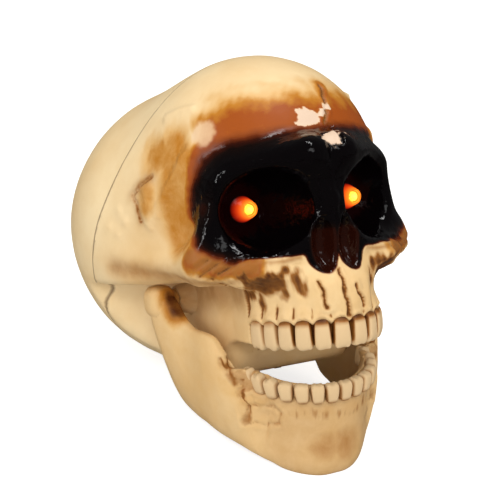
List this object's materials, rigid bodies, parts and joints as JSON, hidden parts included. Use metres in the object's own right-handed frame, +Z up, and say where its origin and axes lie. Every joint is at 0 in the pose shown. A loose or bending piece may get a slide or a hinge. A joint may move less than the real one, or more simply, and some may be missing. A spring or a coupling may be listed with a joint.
{
  "type": "halloween skull decoration",
  "caption": "Life-size-looking plastic skull table decoration with light-up eye sockets and a hinged lower jaw, resting on its chin and the back of its head.",
  "frame": {"origin": "centre of the bounding box, on the table under the skull", "axes": "+Z up, -Y towards the viewer in front of the face, +X towards the skull's own left"},
  "size_m": [0.1516, 0.2182, 0.1729],
  "materials": {
    "bone": "satin, painted in aged bone with brown shading",
    "lens": "clear tinted lens",
    "white": "plain",
    "black": "plain",
    "steel": "zinc plated",
    "green": "solder mask",
    "cell": "wrapped cell",
    "red": "insulated lead"
  },
  "bodies": {
    "skull": {"face_shell": "bone", "rear_shell": "bone", "pivot_washer_right": "white", "pivot_washer_left": "white", "shell_screw_lower": "steel", "shell_screw_right": "steel", "shell_screw_left": "steel", "eye_led_right": "lens", "led_collar_right": "black", "eye_lead_right": "red", "eye_led_left": "lens", "led_collar_left": "black", "eye_lead_left": "red", "battery_tray": "black", "battery_a": "cell", "battery_spring_a": "steel", "battery_b": "cell", "battery_spring_b": "steel", "contact_bridge": "steel", "contact_plus": "steel", "contact_minus": "steel", "door_screw_front": "steel", "door_screw_rear": "steel", "battery_door": "bone", "board_screw_right": "steel", "board_screw_left": "steel", "circuit_board": "green", "driver_chip": "black", "capacitor": "black", "switch_body": "black", "battery_lead_plus": "red", "battery_lead_minus": "black", "switch_lead": "red"},
    "jaw": {"jaw": "bone", "pivot_screw_right": "steel", "pivot_screw_left": "steel"},
    "switch_slider": {"switch_slider": "black"}
  },
  "joints": [
    {"name": "jaw_hinge", "type": "hinge", "parent": "skull", "child": "jaw", "pos_m": [0, -0.0144, 0.05577], "axis": [1, 0, 0], "range_deg": [-9, 8]},
    {"name": "switch_slide", "type": "slide", "parent": "skull", "child": "switch_slider", "axis": [1, 0, 0], "range_m": [0, 0.004]}
  ]
}
